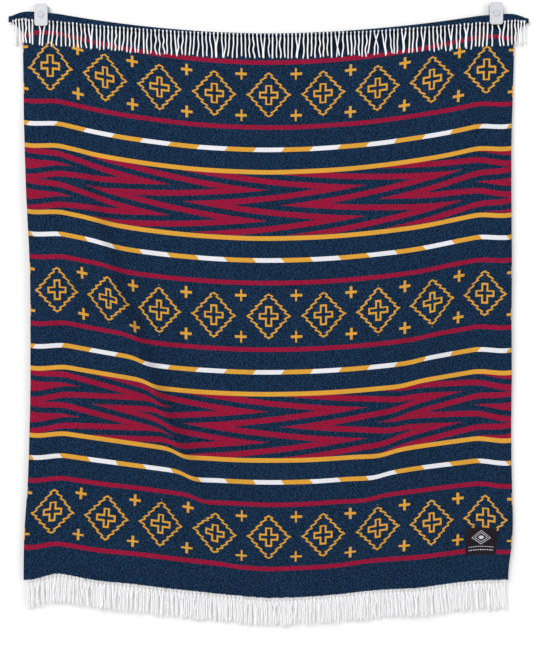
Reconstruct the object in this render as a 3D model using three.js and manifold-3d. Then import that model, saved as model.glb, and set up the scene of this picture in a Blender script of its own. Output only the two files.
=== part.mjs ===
// Fringed woven blanket hung on a wall from two clips, its top end turned over to the front.
// Millimetres, +Z up. The wall is the plane y = 0 and the blanket faces -Y. The origin lies on the
// wall, midway between the clips. On the cloth, u runs across from its middle and v runs down from
// its top end, both measured along the cloth.
import * as THREE from 'three';
import Module from 'manifold-3d';
import { mergeVertices } from 'three/addons/utils/BufferGeometryUtils.js';

// Cloth
const WIDTH = 1400;
const LENGTH = 1595;
const THICKNESS = 3;
const HALF = WIDTH / 2;
const COLUMNS = 42;
const ROWS = 26;
const GAP = 0.3;

// Clips: a plate on the wall, a front jaw seated on its boss, and a low round knob
const CLIP_X = 636.5;
const CLIP_WIDTH = 37;
const CLIP_HEIGHT = 62;
const CLIP_CORNER = 7;
const CLIP_EDGE = 0.8;
const PAD_CORNER = 2;
const WALL_PLATE = 6;
const JAW_PLATE = 4;
const PAD_DEPTH = 3;
const PAD = { width: 26, height: 12, below: 14 };
const BOSS = { width: 28, height: 14, above: 20 };
const KNOB = { radius: 9.5, rise: 5.5, foot: 1.5 };
const CLIP_SIDES = {
  left: { x: -CLIP_X, z: -2 },
  right: { x: CLIP_X, z: 2 },
};

// Hang of the cloth: its turned-over top end, and how far its sides stand above its middle
const BEND_RADIUS = 2.3;
const BEND_LENGTH = Math.PI * BEND_RADIUS;
const TOP_MIDDLE_Z = -46.3;
const TURN_MIDDLE = 9.2;
const TURN_POWER = 2;
const SAG_POWER = 1.9;
const SAG_LOSS_POWER = 3;
const SIDES = {
  left: { sag: 98, sagLoss: 15, turn: 28, hemDroop: 1.6, shoulder: 17 },
  right: { sag: 89, sagLoss: 31, turn: 25, hemDroop: 0.3, shoulder: 11 },
};
// Just below the clips the cloth is drawn up to its shoulders, which end short of its edges
const SHOULDER = { v: 130, reach: 80, end: 0.93 };
// The sag's bow flattens towards the hem, and the hem itself is drawn up a little
const HEM_BOW = { powerLoss: 0.6, from: 1150, to: 1500 };
const HEM_LIFT = { height: 7, from: 1300 };
// Share of the cloth's width that is left once its small ripples are taken up
const EASE = 0.988;
// Heights where the sides are drawn in, how far each reaches up and down, and by how much
const WAISTS = [
  { name: 'upper', v: 420, reach: 260, left: 7, right: 12 },
  { name: 'lower', v: 1330, reach: 150, left: 10, right: 4 },
  { name: 'hem', v: 1595, reach: 110, left: 3, right: 18 },
];
// The side edges droop, by a share of it at the hem. The free corners outside the clips hold some of
// that droop up, turn over less and flare out to a drooping tip.
const EDGE = { start: 0.84, droop: 20, hemFrom: 1450 };
const CORNER = {
  start: 0.89, turnLoss: 16, turnPower: 2, flare: 38, tipDroop: 29, tipPower: 4, reach: 36, hold: 0.55,
};
// Middle of the cloth's thickness at the clips, and how far it stands off further down
const CLIP_LAYER_Y = -(WALL_PLATE + PAD_DEPTH + GAP + THICKNESS / 2);
const STAND_OFF = { depth: 6, from: 80, to: 500 };

// Soft folds. Each runs from (uTop, vTop) to (uEnd, vEnd), straight if curl is 1. Depth is towards
// the front. The widths run from its crest to where it has sunk to a third, on its outer flank and
// on the one that looks to the middle. Tuck is how much of the sag the fold gathers into one step
// across it, as the square of the way down, and the fades are shares of its length.
const FOLDS = [
  {
    name: 'left swag', uTop: -600, vTop: 150, uEnd: -50, vEnd: 1640, curl: 1.45,
    outer: 125, inner: 44, depth: 50, tuck: 62, fadeIn: 0.45, fadeOut: 0.4,
  },
  {
    name: 'right swag', uTop: 625, vTop: 180, uEnd: 190, vEnd: 1640, curl: 1.2,
    outer: 105, inner: 56, depth: 36, tuck: 36, fadeIn: 0.5, fadeOut: 0.35,
  },
  {
    name: 'left trough', uTop: -500, vTop: 250, uEnd: 70, vEnd: 1640, curl: 1.45,
    outer: 40, inner: 60, depth: -6, tuck: 0, fadeIn: 0.5, fadeOut: 0.35,
  },
  {
    name: 'right trough', uTop: 520, vTop: 250, uEnd: 75, vEnd: 1640, curl: 1.2,
    outer: 45, inner: 60, depth: -6, tuck: 0, fadeIn: 0.5, fadeOut: 0.35,
  },
  {
    name: 'belly', uTop: 20, vTop: 40, uEnd: 20, vEnd: 1560, curl: 1,
    outer: 280, inner: 290, depth: 16, tuck: 0, fadeIn: 0.4, fadeOut: 0.5,
  },
  {
    name: 'left edge roll', uTop: -675, vTop: 130, uEnd: -665, vEnd: 1480, curl: 1,
    outer: 50, inner: 45, depth: 12, tuck: 0, fadeIn: 0.35, fadeOut: 0.4,
  },
  {
    name: 'right edge roll', uTop: 665, vTop: 200, uEnd: 670, vEnd: 1300, curl: 1,
    outer: 50, inner: 45, depth: 10, tuck: 0, fadeIn: 0.4, fadeOut: 0.4,
  },
  {
    name: 'left hem flute', uTop: -520, vTop: 1080, uEnd: -470, vEnd: 1640, curl: 1,
    outer: 78, inner: 78, depth: 14, tuck: 0, fadeIn: 0.8, fadeOut: 0,
  },
  {
    name: 'middle hem flute', uTop: 90, vTop: 1120, uEnd: 130, vEnd: 1640, curl: 1,
    outer: 85, inner: 85, depth: 12, tuck: 0, fadeIn: 0.8, fadeOut: 0,
  },
  {
    name: 'right hem flute', uTop: 400, vTop: 1080, uEnd: 440, vEnd: 1640, curl: 1,
    outer: 72, inner: 72, depth: 14, tuck: 0, fadeIn: 0.8, fadeOut: 0,
  },
];
// Cloth taken up by one flank of a fold, as a share of depth squared over width
const FLANK_TAKE = Math.sqrt(Math.PI / 32);
const TAKE_SHARPNESS = 1.2;
const TUCK_REACH = 0.65;

// Fringes: strands of three sides on a narrow strip that continues the cloth's end
const STRANDS = 125;
const STRIP = 5;
const FRINGE_TOP = 64;
const FRINGE_BOTTOM = 78;
const STRAND_STEPS = 2;
const STRAND_WIDTH = 5;
const STRAND_TIP_SHARE = 0.7;
const STRAND_LEAN = 2.2;
const STRAND_UNEVEN = 3;

// Label, sewn flat to the face
const LABEL = { u: 612, v: 1485, width: 88, height: 75, thickness: 1, gap: 0.5, tilt: 0.05 };
const LABEL_COLUMNS = 6;
const LABEL_ROWS = 5;

const { smoothstep } = THREE.MathUtils;
const wasm = await Module();
wasm.setup();

// Points and triangles of one closed body
class Skin {
  points = [];
  faces = [];

  point(place) {
    this.points.push(place.x, place.y, place.z);
    return this.points.length / 3 - 1;
  }

  triangle(a, b, c) {
    this.faces.push(a, b, c);
  }

  quad(a, b, c, d) {
    this.triangle(a, b, c);
    this.triangle(a, c, d);
  }

  geometry() {
    const geometry = new THREE.BufferGeometry();
    geometry.setAttribute('position', new THREE.Float32BufferAttribute(this.points, 3));
    geometry.setIndex(this.faces);
    return geometry;
  }
}

const sideOf = (u) => (u < 0 ? SIDES.left : SIDES.right);
const shareOf = (u) => Math.abs(u) / HALF;
const cornerOf = (u) => smoothstep(shareOf(u), CORNER.start, 1);

// Length of cloth that is turned over to the front at u
function turnedLength(u) {
  const turn = sideOf(u).turn * shareOf(u) ** TURN_POWER;
  return TURN_MIDDLE + turn - CORNER.turnLoss * cornerOf(u) ** CORNER.turnPower;
}

// A fold's crest, strength and way down at the height of v
function foldAt(fold, v) {
  const along = THREE.MathUtils.clamp((v - fold.vTop) / (fold.vEnd - fold.vTop), 0, 1);
  const fadeOut = 1 - smoothstep(along, 1 - fold.fadeOut, 1);
  const strength = smoothstep(along, 0, fold.fadeIn) * fadeOut;
  return { crest: fold.uTop + (fold.uEnd - fold.uTop) * along ** fold.curl, strength, along };
}

// How far the sides are drawn in at the height of v
function drawnIn(u, v) {
  const bells = WAISTS.map((waist) => {
    const depth = u < 0 ? waist.left : waist.right;
    return depth * Math.exp(-(((v - waist.v) / waist.reach) ** 2));
  });
  return bells.reduce((sum, bell) => sum + bell, 0);
}

// How far the cloth is drawn up to its shoulders
function shoulderAt(u, v) {
  const across = shareOf(u) ** 2 * (1 - smoothstep(shareOf(u), SHOULDER.end, 1));
  return sideOf(u).shoulder * across * Math.exp(-(((v - SHOULDER.v) / SHOULDER.reach) ** 2));
}

// The hanging cloth behind the turned-over end
function hang(u, v) {
  const { sag, sagLoss, hemDroop } = sideOf(u);
  const share = shareOf(u);
  const corner = cornerOf(u);
  const bow = share ** (SAG_POWER - HEM_BOW.powerLoss * smoothstep(v, HEM_BOW.from, HEM_BOW.to));
  const lift = (sag - sagLoss * (v / LENGTH) ** SAG_LOSS_POWER) * bow;
  const hemLift = HEM_LIFT.height * smoothstep(v, HEM_LIFT.from, LENGTH);
  const below = Math.max(v - turnedLength(u), 0);
  const nearTop = Math.exp(-((below / CORNER.reach) ** 2));
  const flare = CORNER.flare * corner * nearTop - drawnIn(u, v) * share;
  const edgeDroop = EDGE.droop * (1 - (1 - hemDroop) * smoothstep(v, EDGE.hemFrom, LENGTH));
  const tipDroop = CORNER.tipDroop * corner ** CORNER.tipPower * nearTop;
  const droop = edgeDroop * smoothstep(share, EDGE.start, 1) * (1 - CORNER.hold * nearTop) + tipDroop;
  const place = new THREE.Vector3(
    EASE * u + Math.sign(u) * flare,
    CLIP_LAYER_Y - STAND_OFF.depth * smoothstep(v, STAND_OFF.from, STAND_OFF.to),
    TOP_MIDDLE_Z - v + lift + hemLift + shoulderAt(u, v) - droop,
  );
  for (const fold of FOLDS) {
    const { crest, strength, along } = foldAt(fold, v);
    const out = Math.sign(crest);
    const depth = fold.depth * strength;
    const off = (u - crest) * out;
    const width = off > 0 ? fold.outer : fold.inner;
    const inTake = (FLANK_TAKE * depth ** 2) / fold.inner;
    const outTake = (FLANK_TAKE * depth ** 2) / fold.outer;
    const inDrawn = inTake * (1 + Math.tanh((TAKE_SHARPNESS * off) / fold.inner + 1));
    const outDrawn = outTake * (1 + Math.tanh((TAKE_SHARPNESS * off) / fold.outer - 1));
    const step = (1 + Math.tanh(off / (TUCK_REACH * fold.inner))) / 2;
    const ownBow = u * out > 0 ? bow : 0;
    place.x -= (out * (inDrawn + outDrawn)) / 2;
    place.y -= depth * Math.exp(-((off / width) ** 2));
    place.z += fold.tuck * strength * along ** 2 * (step - ownBow);
  }
  return place;
}

// Middle of the cloth's thickness, its fringes included: hanging cloth, round bend, turned-over end
function middle(u, v) {
  const turned = turnedLength(u);
  const past = turned - v;
  if (past <= 0) {
    return hang(u, v);
  }
  const top = hang(u, turned);
  if (past < BEND_LENGTH) {
    const angle = past / BEND_RADIUS;
    top.y -= BEND_RADIUS * (1 - Math.cos(angle));
    top.z += BEND_RADIUS * Math.sin(angle);
    return top;
  }
  const drop = past - BEND_LENGTH;
  const behind = hang(u, turned + drop);
  return new THREE.Vector3(top.x, behind.y - 2 * BEND_RADIUS, top.z - drop);
}

// The direction that the cloth's face looks in
function facing(u, v) {
  const step = 0.1;
  const across = middle(u + step, v).sub(middle(u - step, v));
  const down = middle(u, v + step).sub(middle(u, v - step));
  return down.cross(across).normalize();
}

const offFace = (u, v, offset) => middle(u, v).addScaledVector(facing(u, v), offset);

// The same place on the flat stretches between the cloth's columns
function onColumns(u, v, offset) {
  const pitch = WIDTH / COLUMNS;
  const column = THREE.MathUtils.clamp(Math.floor((u + HALF) / pitch), 0, COLUMNS - 1);
  const left = -HALF + column * pitch;
  const share = (u - left) / pitch;
  return offFace(left, v, offset).lerp(offFace(left + pitch, v, offset), share);
}

// A closed sheet over a grid, its two faces half a thickness off place(column, row, offset). Its
// quads are split along the folds, which lean towards the middle on their way down.
function sheet(columns, rows, thickness, place) {
  const skin = new Skin();
  const layer = (offset) =>
    Array.from({ length: rows + 1 }, (_, row) =>
      Array.from({ length: columns + 1 }, (_, column) => skin.point(place(column, row, offset))));
  const face = layer(thickness / 2);
  const back = layer(-thickness / 2);
  for (let row = 0; row < rows; row += 1) {
    for (let column = 0; column < columns; column += 1) {
      const turn = column < columns / 2 ? 0 : 1;
      const ring = [[row, column], [row + 1, column], [row + 1, column + 1], [row, column + 1]];
      const corners = ring.map((_, i) => ring[(i + turn) % ring.length]);
      skin.quad(...corners.map(([r, c]) => face[r][c]));
      skin.quad(...[corners[0], corners[3], corners[2], corners[1]].map(([r, c]) => back[r][c]));
    }
  }
  for (let row = 0; row < rows; row += 1) {
    skin.quad(face[row][0], back[row][0], back[row + 1][0], face[row + 1][0]);
    skin.quad(face[row][columns], face[row + 1][columns], back[row + 1][columns], back[row][columns]);
  }
  for (let column = 0; column < columns; column += 1) {
    const right = column + 1;
    skin.quad(face[0][column], face[0][right], back[0][right], back[0][column]);
    skin.quad(face[rows][column], back[rows][column], back[rows][right], face[rows][right]);
  }
  return skin.geometry();
}

// Distances along the turned-over end at u, from its hem to where the cloth starts to hang
function turnStations(u) {
  const turned = turnedLength(u);
  const bend = [1, 0.75, 0.5, 0.25, 0].map((share) => turned - share * BEND_LENGTH);
  return [0, ...bend];
}

function blanketGeometry() {
  const turnRows = turnStations(0).length - 1;
  return sheet(COLUMNS, turnRows + ROWS, THICKNESS, (column, row, offset) => {
    const u = -HALF + (column * WIDTH) / COLUMNS;
    const turned = turnedLength(u);
    const hanging = turned + ((LENGTH - turned) * (row - turnRows)) / ROWS;
    return offFace(u, row < turnRows ? turnStations(u)[row] : hanging, offset);
  });
}

// A comb of strands. The strip starts at vRoot, the strands leave its far edge and end near vTip.
function fringeGeometry(vRoot, vTip) {
  const skin = new Skin();
  const way = Math.sign(vTip - vRoot);
  const vEdge = vRoot + way * STRIP;
  const pitch = WIDTH / (STRANDS + 1);
  const half = THICKNESS / 2;
  const middles = Array.from({ length: STRANDS }, (_, strand) => -HALF + (strand + 1) * pitch);
  const stops = [-HALF, ...middles, HALF];
  const add = (u, v, offset) => skin.point(onColumns(u, v, offset));
  const rootFace = stops.map((u) => add(u, vRoot, half));
  const rootBack = stops.map((u) => add(u, vRoot, -half));
  const edgeBack = stops.map((u) => add(u, vEdge, -half));
  const edgeLeft = stops.map((u, i) => add(i > 0 && i <= STRANDS ? u - STRAND_WIDTH / 2 : u, vEdge, half));
  const edgeRight = stops.map((u, i) =>
    (i > 0 && i <= STRANDS ? add(u + STRAND_WIDTH / 2, vEdge, half) : edgeLeft[i]));

  for (let i = 0; i <= STRANDS; i += 1) {
    skin.quad(rootFace[i], edgeRight[i], edgeLeft[i + 1], rootFace[i + 1]);
    skin.quad(rootBack[i], rootBack[i + 1], edgeBack[i + 1], edgeBack[i]);
    skin.quad(rootFace[i], rootFace[i + 1], rootBack[i + 1], rootBack[i]);
    skin.quad(edgeRight[i], edgeBack[i], edgeBack[i + 1], edgeLeft[i + 1]);
  }
  const last = STRANDS + 1;
  skin.quad(rootFace[0], rootBack[0], edgeBack[0], edgeLeft[0]);
  skin.quad(rootFace[last], edgeLeft[last], edgeBack[last], rootBack[last]);

  middles.forEach((u, strand) => {
    const stop = strand + 1;
    const lean = STRAND_LEAN * Math.sin(2.4 * strand + 1.7 * Math.sin(0.7 * strand));
    const reach = Math.abs(vTip - vEdge) + STRAND_UNEVEN * Math.sin(1.9 * strand);
    skin.triangle(rootFace[stop], edgeLeft[stop], edgeRight[stop]);
    let ring = [edgeLeft[stop], edgeRight[stop], edgeBack[stop]];
    for (let step = 1; step <= STRAND_STEPS; step += 1) {
      const share = step / STRAND_STEPS;
      const size = 1 - (1 - STRAND_TIP_SHARE) * share;
      const v = vEdge + way * reach * share;
      const at = (across, offset) => {
        const place = onColumns(u, v, offset * size);
        place.x += lean * share + across * size;
        return skin.point(place);
      };
      const next = [at(-STRAND_WIDTH / 2, half), at(STRAND_WIDTH / 2, half), at(0, -half)];
      for (let corner = 0; corner < 3; corner += 1) {
        const other = (corner + 1) % 3;
        skin.quad(ring[corner], next[corner], next[other], ring[other]);
      }
      ring = next;
    }
    skin.triangle(ring[0], ring[2], ring[1]);
  });
  if (way < 0) {
    skin.faces.reverse();
  }
  return skin.geometry();
}

function labelGeometry() {
  const lift = THICKNESS / 2 + LABEL.gap + LABEL.thickness / 2;
  return sheet(LABEL_COLUMNS, LABEL_ROWS, LABEL.thickness, (column, row, offset) => {
    const across = (column / LABEL_COLUMNS - 0.5) * LABEL.width;
    const down = (row / LABEL_ROWS - 0.5) * LABEL.height;
    const u = LABEL.u + across * Math.cos(LABEL.tilt) + down * Math.sin(LABEL.tilt);
    const v = LABEL.v - across * Math.sin(LABEL.tilt) + down * Math.cos(LABEL.tilt);
    return onColumns(u, v, lift + offset);
  });
}

// A rounded plate in the plane of the wall, from y = start towards the front
function plate(width, height, corner, depth, start, z, curveSegments = 3) {
  const shape = new THREE.Shape();
  const x = width / 2 - corner;
  const y = height / 2 - corner;
  shape.absarc(x, y, corner, 0, Math.PI / 2);
  shape.absarc(-x, y, corner, Math.PI / 2, Math.PI);
  shape.absarc(-x, -y, corner, Math.PI, 1.5 * Math.PI);
  shape.absarc(x, -y, corner, 1.5 * Math.PI, 2 * Math.PI);
  const geometry = new THREE.ExtrudeGeometry(shape, {
    depth: depth - 2 * CLIP_EDGE,
    bevelThickness: CLIP_EDGE,
    bevelSize: CLIP_EDGE,
    bevelOffset: -CLIP_EDGE,
    bevelSegments: 1,
    curveSegments,
  });
  geometry.translate(0, 0, CLIP_EDGE);
  geometry.rotateX(Math.PI / 2);
  geometry.translate(0, start, z);
  return geometry;
}

function solidOf(geometry) {
  geometry.deleteAttribute('normal');
  geometry.deleteAttribute('uv');
  const merged = mergeVertices(geometry, 1e-4);
  return new wasm.Manifold(new wasm.Mesh({
    numProp: 3,
    vertProperties: new Float32Array(merged.attributes.position.array),
    triVerts: new Uint32Array(merged.index.array),
  }));
}

// One solid of plates that reach into each other
function joined(...geometries) {
  const mesh = geometries.map(solidOf).reduce((whole, piece) => whole.add(piece)).getMesh();
  const geometry = new THREE.BufferGeometry();
  geometry.setAttribute('position', new THREE.Float32BufferAttribute(mesh.vertProperties, 3));
  geometry.setIndex(Array.from(mesh.triVerts));
  return geometry;
}

// Depths of the clip, from the wall to the front
const CLOTH_FRONT_Y = CLIP_LAYER_Y - 2 * BEND_RADIUS - THICKNESS / 2;
const JAW_PAD_Y = CLOTH_FRONT_Y - GAP;
const JAW_Y = JAW_PAD_Y - PAD_DEPTH;
const KNOB_Y = JAW_Y - JAW_PLATE - GAP;
const SINK = 2;

function clipBackGeometry() {
  const pad = PAD_DEPTH + SINK;
  const boss = -(JAW_Y + GAP) - WALL_PLATE + SINK;
  return joined(
    plate(CLIP_WIDTH, CLIP_HEIGHT, CLIP_CORNER, WALL_PLATE, 0, 0),
    plate(PAD.width, PAD.height, PAD_CORNER, pad, -WALL_PLATE + SINK, -PAD.below, 1),
    plate(BOSS.width, BOSS.height, PAD_CORNER, boss, -WALL_PLATE + SINK, BOSS.above, 1),
  );
}

function clipFrontGeometry() {
  return joined(
    plate(CLIP_WIDTH, CLIP_HEIGHT, CLIP_CORNER, JAW_PLATE, JAW_Y, 0),
    plate(PAD.width, PAD.height, PAD_CORNER, PAD_DEPTH + SINK, JAW_PAD_Y, -PAD.below, 1),
  );
}

// A low dome on a short foot
function knobGeometry() {
  const { radius, rise, foot } = KNOB;
  const profile = [new THREE.Vector2(0, 0), new THREE.Vector2(radius, 0)];
  const domeSteps = 4;
  for (let step = 0; step <= domeSteps; step += 1) {
    const angle = (step / domeSteps) * (Math.PI / 2);
    const x = step === domeSteps ? 0 : radius * Math.cos(angle);
    profile.push(new THREE.Vector2(x, foot + (rise - foot) * Math.sin(angle)));
  }
  const geometry = new THREE.LatheGeometry(profile, 18);
  geometry.rotateX(Math.PI);
  geometry.translate(0, KNOB_Y, 0);
  return geometry;
}

const finish = (color, roughness) => new THREE.MeshStandardMaterial({ color, roughness, metalness: 0 });
const COLOURS = { navy: '#172a40', yarn: '#efeff2', label: '#231b21', clip: '#e2e2e7' };

function piece(name, geometry, material) {
  const mesh = new THREE.Mesh(geometry, material);
  mesh.name = name;
  return mesh;
}

const blanket = new THREE.Group();
blanket.add(
  piece('blanket', blanketGeometry(), finish(COLOURS.navy, 0.95)),
  piece('fringe_top', fringeGeometry(-GAP, -FRINGE_TOP), finish(COLOURS.yarn, 0.9)),
  piece('fringe_bottom', fringeGeometry(LENGTH + GAP, LENGTH + FRINGE_BOTTOM), finish(COLOURS.yarn, 0.9)),
  piece('label', labelGeometry(), finish(COLOURS.label, 0.85)),
);

for (const [side, { x, z }] of Object.entries(CLIP_SIDES)) {
  const clip = new THREE.Group();
  clip.position.set(x, 0, z);
  clip.add(
    piece(`clip_${side}_back`, clipBackGeometry(), finish(COLOURS.clip, 0.4)),
    piece(`clip_${side}_front`, clipFrontGeometry(), finish(COLOURS.clip, 0.4)),
    piece(`clip_${side}_knob`, knobGeometry(), finish(COLOURS.clip, 0.35)),
  );
  blanket.add(clip);
}

export default blanket;
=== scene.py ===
"""A fringed woven blanket hung from two wall clips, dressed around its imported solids.

Metres, +Z up. The wall is the plane y = 0 and the blanket faces -Y. On the cloth, u runs across from
its middle and v runs down from its top end, both measured along the cloth.
"""
import math
from collections import namedtuple

import bpy
import numpy as np
from bpy.props import FloatProperty, FloatVectorProperty, IntProperty, PointerProperty
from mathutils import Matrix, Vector


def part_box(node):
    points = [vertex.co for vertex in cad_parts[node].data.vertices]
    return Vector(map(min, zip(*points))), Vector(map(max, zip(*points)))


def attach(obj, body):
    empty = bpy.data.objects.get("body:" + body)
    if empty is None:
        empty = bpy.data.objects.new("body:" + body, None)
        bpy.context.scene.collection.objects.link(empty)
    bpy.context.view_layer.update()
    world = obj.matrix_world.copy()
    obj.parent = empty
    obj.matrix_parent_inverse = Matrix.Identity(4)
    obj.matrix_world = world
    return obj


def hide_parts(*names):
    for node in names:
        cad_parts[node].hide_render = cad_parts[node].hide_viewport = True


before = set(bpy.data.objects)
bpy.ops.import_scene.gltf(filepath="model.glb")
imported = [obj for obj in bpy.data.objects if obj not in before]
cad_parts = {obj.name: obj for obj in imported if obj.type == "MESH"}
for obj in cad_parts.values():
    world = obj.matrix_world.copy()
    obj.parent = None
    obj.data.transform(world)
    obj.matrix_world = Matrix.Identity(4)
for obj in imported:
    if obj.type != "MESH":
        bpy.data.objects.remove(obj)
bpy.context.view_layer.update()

bl_info = {
    "name": "Hung blanket",
    "version": (1, 0, 0),
    "blender": (4, 5, 0),
    "location": "View3D > Sidebar > Hung blanket",
    "description": "Weaves a fringed blanket and hangs it from two wall clips",
    "category": "Mesh",
}

# Cloth
WIDTH = 1.4
LENGTH = 1.595
HALF = WIDTH / 2

# Hang of the cloth: its turned-over top end, and how far its sides stand above its middle
BEND_RADIUS = 0.0023
BEND_LENGTH = math.pi * BEND_RADIUS
TOP_MIDDLE_Z = -0.0463
TURN_MIDDLE = 0.0092
TURN_POWER = 2.0
SAG_POWER = 1.9
SAG_LOSS_POWER = 3
Side = namedtuple("Side", "sag sag_loss turn hem_droop shoulder")
LEFT_SIDE = Side(sag=0.098, sag_loss=0.015, turn=0.028, hem_droop=1.6, shoulder=0.017)
RIGHT_SIDE = Side(sag=0.089, sag_loss=0.031, turn=0.025, hem_droop=0.3, shoulder=0.011)
# Just below the clips the cloth is drawn up to its shoulders, which end short of its edges
SHOULDER_V = 0.130
SHOULDER_REACH = 0.080
SHOULDER_END = 0.93
# The sag's bow flattens towards the hem, and the hem itself is drawn up a little
HEM_POWER_LOSS = 0.6
HEM_POWER_FROM = 1.15
HEM_POWER_TO = 1.50
HEM_LIFT = 0.007
HEM_LIFT_FROM = 1.30
# Share of the cloth's width that is left once its small ripples are taken up
EASE = 0.988
# Heights where the sides are drawn in, how far each reaches up and down, and by how much
Waist = namedtuple("Waist", "name v reach left right")
WAISTS = (
    Waist("upper", 0.420, 0.260, 0.007, 0.012),
    Waist("lower", 1.330, 0.150, 0.010, 0.004),
    Waist("hem", 1.595, 0.110, 0.003, 0.018),
)
# The side edges droop, by a share of it at the hem. The free corners outside the clips hold some of
# that droop up, turn over less and flare out to a drooping tip.
DROOP_START = 0.84
EDGE_DROOP = 0.020
EDGE_HEM_FROM = 1.45
CORNER_START = 0.89
CORNER_TURN_LOSS = 0.016
CORNER_TURN_POWER = 2
CORNER_FLARE = 0.038
CORNER_TIP_DROOP = 0.029
CORNER_TIP_POWER = 4
CORNER_REACH = 0.036
CORNER_HOLD = 0.55
# Middle of the cloth's thickness at the clips, and how far it stands off further down
CLIP_LAYER_Y = -0.0108
STAND_OFF = 0.006
STAND_OFF_FROM = 0.08
STAND_OFF_TO = 0.50

# Soft folds. Each runs from (u_top, v_top) to (u_end, v_end), straight if curl is 1. Depth is towards
# the front. The widths run from its crest to where it has sunk to a third, on its outer flank and on
# the one that looks to the middle. Tuck is how much of the sag the fold gathers into one step across
# it, as the square of the way down, and the fades are shares of its length.
Fold = namedtuple("Fold", "name u_top v_top u_end v_end curl outer inner depth tuck fade_in fade_out")
FOLDS = (
    Fold("left swag", -0.600, 0.150, -0.050, 1.640, 1.45, 0.125, 0.044, 0.050, 0.062, 0.45, 0.40),
    Fold("right swag", 0.625, 0.180, 0.190, 1.640, 1.20, 0.105, 0.056, 0.036, 0.036, 0.50, 0.35),
    Fold("left trough", -0.500, 0.250, 0.070, 1.640, 1.45, 0.040, 0.060, -0.006, 0.0, 0.50, 0.35),
    Fold("right trough", 0.520, 0.250, 0.075, 1.640, 1.20, 0.045, 0.060, -0.006, 0.0, 0.50, 0.35),
    Fold("belly", 0.020, 0.040, 0.020, 1.560, 1.0, 0.280, 0.290, 0.016, 0.0, 0.40, 0.50),
    Fold("left edge roll", -0.675, 0.130, -0.665, 1.480, 1.0, 0.050, 0.045, 0.012, 0.0, 0.35, 0.40),
    Fold("right edge roll", 0.665, 0.200, 0.670, 1.300, 1.0, 0.050, 0.045, 0.010, 0.0, 0.40, 0.40),
    Fold("left hem flute", -0.520, 1.080, -0.470, 1.640, 1.0, 0.078, 0.078, 0.014, 0.0, 0.80, 0.0),
    Fold("middle hem flute", 0.090, 1.120, 0.130, 1.640, 1.0, 0.085, 0.085, 0.012, 0.0, 0.80, 0.0),
    Fold("right hem flute", 0.400, 1.080, 0.440, 1.640, 1.0, 0.072, 0.072, 0.014, 0.0, 0.80, 0.0),
)
# Cloth taken up by one flank of a fold, as a share of depth squared over width
FLANK_TAKE = math.sqrt(math.pi / 32)
TAKE_SHARPNESS = 1.2
TUCK_REACH = 0.65

# Slow waves all over the cloth: wave length, direction in radians, height and phase
Ripple = namedtuple("Ripple", "length direction height phase")
RIPPLES = (
    Ripple(0.230, 0.35, 0.0011, 0.4),
    Ripple(0.146, -0.62, 0.0008, 2.1),
    Ripple(0.089, 1.20, 0.0004, 4.0),
)
RIPPLE_FROM = 0.07
RIPPLE_TO = 0.30
# Creases that fan out below each clip: turn from straight down towards the middle, length, width
# and height
Crease = namedtuple("Crease", "turn length width height")
CREASES = (
    Crease(0.14, 0.62, 0.016, 0.0022),
    Crease(0.72, 0.46, 0.018, 0.0020),
    Crease(1.15, 0.38, 0.014, 0.0013),
)

# Fineness of the cloth's mesh
CLOTH_COLUMNS = 188
TURN_ROWS = 5
BEND_ROWS = 9
HANG_ROWS = 214
ROUNDING_ANGLES = np.radians([0, 30, 60])

# Woven pattern. Bands lie the same way above and below the pattern's middle, so they are given by
# their distance from it.
MIDDLE = 0.799
STRIPE = 0.0126
# Painted shadow of the top fringe: the face of the end that the fringe hangs over is darkened down to this
# distance from the top, fading out over a length, by a share
FRINGE_SHADOW_END = 0.074
FRINGE_SHADOW_FADE = 0.012
FRINGE_SHADOW_SHARE = 0.62
# Share of the ground's yarn that covers the pattern on the back
BACK_MUTED = 0.3
RED_STRIPES = (0.0925, 0.5275, 0.7125)
YELLOW_STRIPES = (0.2175, 0.4025)
Dashes = namedtuple("Dashes", "place slant")
DASH_ROWS = (Dashes(0.4645, 0.8), Dashes(0.1555, -0.8))
DASH_PITCH = 0.162
DASH_WHITE = 0.080
MOTIF_PITCH = WIDTH / 9
MOTIF_ROW = 0.620
ZIGZAG_PLACE = 0.310
ZIGZAG_HALF = 0.086
ZIGZAG_TOP = 0.395
ZIGZAG_RISE = 0.086
ZIGZAG_RUN = 0.280
ZIGZAG_REACH = 1.38

# Ends with a fringe: where each lies on the cloth, the way it runs, the face that its knots lap onto
# and how far, the spread of its root yarns and the places of its loose yarns as shares of the pitch,
# the share of the half width from which its strands crowd, and how much they stray
FringeEnd = namedtuple("FringeEnd", "v way face lap spread loose crowd stray seed")
TOP_END = FringeEnd(0.0, -1, -1, 0.0045, 0.10, (), 0.93, 1.15, 11)
BOTTOM_END = FringeEnd(LENGTH, 1, 1, 0.0020, 0.33, (0.36, 0.64), 1.0, 1.0, 23)

# Strands: where they start in their roots, and their thickness at the neck, knot and tip
STRAND_START = 0.3
STRAND_NECK = 0.62
STRAND_KNOT = 0.12
STRAND_TIP_LOSS = 0.22
STRAND_STEPS = 12

# Label, sewn flat to the face
LABEL_U = 0.612
LABEL_V = 1.485
LABEL_TILT = 0.05
LABEL_THICKNESS = 0.001
LABEL_CROWN = 0.0005
LABEL_GRID = 26
THREAD_RADIUS = 0.00042

# Clips
WALL_PLATE = 0.006
JAW_PLATE = 0.004
CLIP_CORNER = 0.007
CLIP_EDGE = 0.0012
PAD_SIZE = (0.026, 0.012)
PAD_BELOW = 0.014
BOSS_SIZE = (0.028, 0.014)
BOSS_ABOVE = 0.020
PAD_CORNER = 0.002
SINK = 0.002
KNOB_SEAT = 0.0009

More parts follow.
